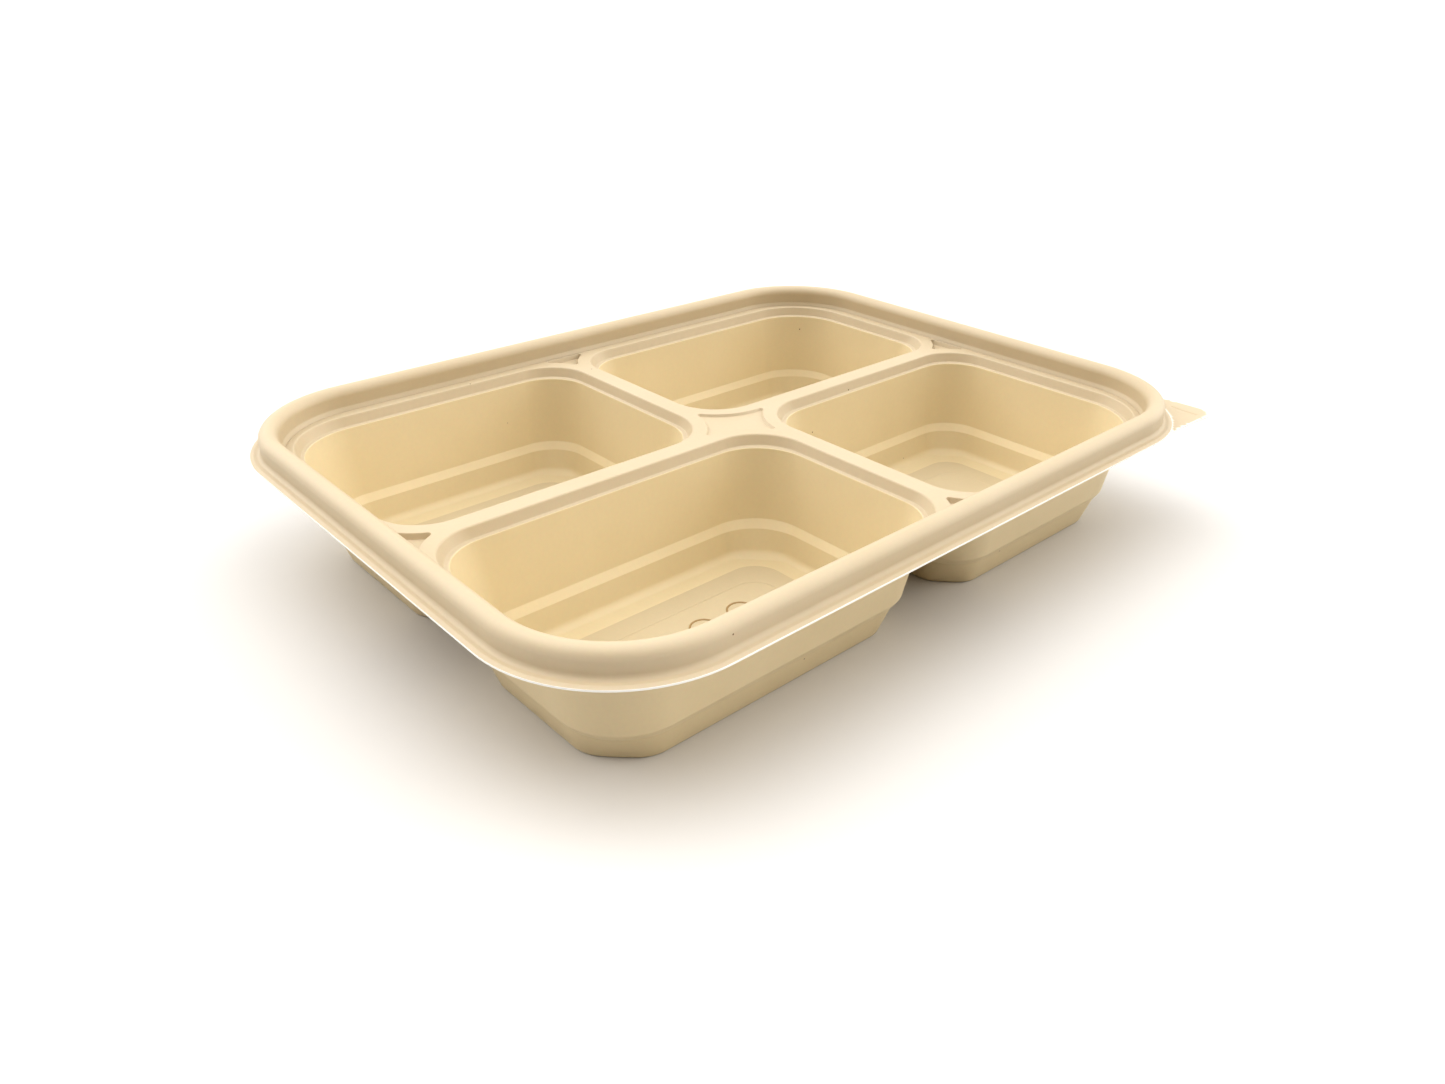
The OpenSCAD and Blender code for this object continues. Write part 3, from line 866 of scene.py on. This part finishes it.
for cup in SIDES:
    upper_loop = lambda inset, cup=cup: cup_loop(cup, inset)
    under_loop = lambda inset, cup=cup: cup_loop(cup, inset, CUP_SHEET)
    for part, first, last, stuff, slot in CUP_PARTS:
        span = (first, last)
        solid = ring_solid(cup_over, cup_under, span, span, upper_loop, under_loop)
        solid.build(f"{cup}_{part}_sheet", stuff, slot, f"{cup}_{part}")
    pad = pan_solid(cup_over, cup_under, (8, 10), (8, 10), upper_loop, under_loop)
    pad.build(cup + "_pad_sheet", floor_stuff, "floor_sheet", cup + "_pad")


# ---------------------------------------------------------------- the ring marks
marks_low, marks_high = mm_box("floor_marks")
MARK_R = (marks_high[1] - marks_low[1]) / 2
MARK_RISE = 0.26
MARK_HALF = 0.3
DASH_HALF = 1.5
DASH_WIDTH = 0.48
DASH_STEPS = ((1.0, 0.0), (0.92, 0.1), (0.7, 0.18), (0.38, 0.23))  # share of its width, height
SINK = 0.12  # how far the marks reach into the pad
RIDGE_STEPS, RING_STEPS, DASH_END_STEPS = 8, 64, 12


def join_rings(solid, firsts, count):
    for outer, inner in zip(firsts, firsts[1:]):
        for j in range(count):
            k = (j + 1) % count
            solid.add_face([outer + j, outer + k, inner + k, inner + j])


def ring_mark(solid, centre):
    """A low rounded ridge in a circle."""
    turns = [math.pi * k / RIDGE_STEPS for k in range(RIDGE_STEPS + 1)]
    ridge = [(-MARK_HALF * math.cos(t), MARK_RISE * math.sin(t)) for t in turns]
    firsts = []
    for inset, z in [(-MARK_HALF, -SINK), *ridge, (MARK_HALF, -SINK)]:
        r = MARK_R - MARK_HALF - inset
        ways = [at(2 * math.pi * j / RING_STEPS) for j in range(RING_STEPS)]
        firsts.append(solid.add_points([(*(centre + r * way), PAD_Z + z) for way in ways]))
    join_rings(solid, [*firsts, firsts[0]], RING_STEPS)


def dash_mark(solid, centre):
    """A short ridge with round ends."""
    firsts = []
    for share, z in ((1.0, -SINK), *DASH_STEPS):
        r, ring = DASH_WIDTH / 2 * share, []
        for end, turned in ((1, 0), (-1, math.pi)):
            for k in range(DASH_END_STEPS + 1):
                t = math.pi * (k / DASH_END_STEPS - 0.5) + turned
                ring.append((*(centre + (end * DASH_HALF, 0) + r * at(t)), PAD_Z + z))
        firsts.append(solid.add_points(ring))
    count = len(ring)
    join_rings(solid, firsts, count)
    solid.add_cap(firsts[-1], count)
    solid.add_cap(firsts[0], count, upper=False)


marks = Solid()
mark_y = (marks_low[1] + marks_high[1]) / 2
for mark_x in (marks_low[0] + MARK_R, marks_high[0] - MARK_R):
    ring_mark(marks, np.array([mark_x, mark_y]))
    for row in (-1, 1):
        dash_mark(marks, np.array([mark_x, mark_y + row * MARK_R / 4]))
marks.build("floor_ring_marks", mark_stuff, "raised_marks", "floor_marks")


# ---------------------------------------------------------------- the floor it stands on
FLOOR_HALF = 30.0
floor_mesh = bpy.data.meshes.new("studio_floor")
floor_mesh.from_pydata(
    [(x * FLOOR_HALF, y * FLOOR_HALF, 0) for x, y in ((-1, -1), (1, -1), (1, 1), (-1, 1))],
    [], [(0, 1, 2, 3)],
)
studio_floor = bpy.data.objects.new("studio_floor", floor_mesh)
bpy.context.scene.collection.objects.link(studio_floor)
floor_paint = bpy.data.materials.new("studio_floor")
floor_paint.use_nodes = True
floor_surface = floor_paint.node_tree.nodes["Principled BSDF"]
floor_surface.inputs["Base Color"].default_value = (0.665, 0.652, 0.635, 1)
floor_surface.inputs["Roughness"].default_value = 1.0
floor_surface.inputs["Specular IOR Level"].default_value = 0.0
floor_mesh.materials.append(floor_paint)


# ---------------------------------------------------------------- camera
CAMERA_AT = Vector((-0.19655, -0.21308, 0.15323))
AZIMUTH, ELEVATION, ROLL = math.radians(42.93), math.radians(30.81), math.radians(0.98)
LENS = 25.747
forward = Vector((
    math.sin(AZIMUTH) * math.cos(ELEVATION), math.cos(AZIMUTH) * math.cos(ELEVATION),
    -math.sin(ELEVATION),
))
level = Vector((math.cos(AZIMUTH), -math.sin(AZIMUTH), 0))
up = level.cross(forward)
right = math.cos(ROLL) * level + math.sin(ROLL) * up
over = -math.sin(ROLL) * level + math.cos(ROLL) * up
camera_data = bpy.data.cameras.new("camera")
camera_data.lens = LENS
camera_data.sensor_width = 36.0
camera_data.shift_x = -0.0086
camera_data.shift_y = 0.0259
camera_data.clip_start = 0.01
camera_data.clip_end = 100.0
camera = bpy.data.objects.new("camera", camera_data)
bpy.context.scene.collection.objects.link(camera)
turned = Matrix((right, over, -forward)).transposed().to_4x4()
camera.matrix_world = Matrix.Translation(CAMERA_AT) @ turned
bpy.context.scene.camera = camera


# ---------------------------------------------------------------- light
world = bpy.data.worlds.new("studio")
bpy.context.scene.world = world
world.use_nodes = True
sky = world.node_tree
sky.nodes.clear()
CAMERA_WAY = math.radians(-133)  # the heading from the tray towards the camera
SOFT_LIGHTS = (  # heading on from the camera's, elevation, how narrow, colour
    (0, 90, 8, (0.8, 0.85, 0.95)),
    (60, 52, 8, (1.8, 1.68, 1.5)),
    (120, 52, 8, (2.05, 2.1, 2.15)),
    (240, 52, 8, (3.15, 3.2, 3.25)),
    (300, 52, 8, (1.95, 1.82, 1.65)),
    (60, 15, 16, (0.5, 0.4, 0.3)),
    (90, 15, 16, (2.9, 2.9, 2.85)),
    (120, 15, 16, (2.2, 2.2, 2.2)),
    (150, 15, 16, (0.9, 0.88, 0.86)),
    (180, 15, 16, (1.0, 0.97, 0.94)),
    (210, 15, 16, (0.85, 0.83, 0.82)),
    (240, 15, 16, (1.9, 1.9, 1.9)),
    (270, 15, 16, (1.75, 1.72, 1.7)),
)


def heading_way(around, elevation):
    lift = math.radians(elevation)
    flat = math.cos(lift) * at(CAMERA_WAY + math.radians(around))
    return (*flat, math.sin(lift))


way = new_node(sky, "ShaderNodeTexCoord", (-1100, 0)).outputs["Generated"]
total = None
for number, (around, elevation, narrow, colour) in enumerate(SOFT_LIGHTS):
    row = -260 * number
    facing = new_node(sky, "ShaderNodeVectorMath", (-900, row), operation="DOT_PRODUCT")
    sky.links.new(way, facing.inputs[0])
    facing.inputs[1].default_value = heading_way(around, elevation)
    ahead = new_node(sky, "ShaderNodeMath", (-700, row), operation="MAXIMUM")
    sky.links.new(facing.outputs["Value"], ahead.inputs[0])
    ahead.inputs[1].default_value = 0.0
    fall = new_node(sky, "ShaderNodeMath", (-500, row), operation="POWER")
    sky.links.new(ahead.outputs["Value"], fall.inputs[0])
    fall.inputs[1].default_value = narrow
    lobe = new_node(sky, "ShaderNodeVectorMath", (-300, row), operation="SCALE")
    lobe.inputs[0].default_value = colour
    sky.links.new(fall.outputs["Value"], lobe.inputs["Scale"])
    if total is None:
        total = lobe.outputs["Vector"]
    else:
        both = new_node(sky, "ShaderNodeVectorMath", (-100, row), operation="ADD")
        sky.links.new(total, both.inputs[0])
        sky.links.new(lobe.outputs["Vector"], both.inputs[1])
        total = both.outputs["Vector"]
glow = new_node(sky, "ShaderNodeBackground", (100, 0))
sky.links.new(total, glow.inputs["Color"])
backdrop = new_node(sky, "ShaderNodeBackground", (100, -200))
backdrop.inputs["Color"].default_value = (1, 1, 1, 1)
path = new_node(sky, "ShaderNodeLightPath", (100, 400))
studio = new_node(sky, "ShaderNodeMixShader", (300, 0))
sky.links.new(path.outputs["Is Camera Ray"], studio.inputs["Fac"])
sky.links.new(glow.outputs["Background"], studio.inputs[1])
sky.links.new(backdrop.outputs["Background"], studio.inputs[2])
sky_out = new_node(sky, "ShaderNodeOutputWorld", (500, 0))
sky.links.new(studio.outputs["Shader"], sky_out.inputs["Surface"])

shown = bpy.context.scene.view_settings
shown.view_transform = "Standard"
shown.look = "None"
shown.gamma = 0.85
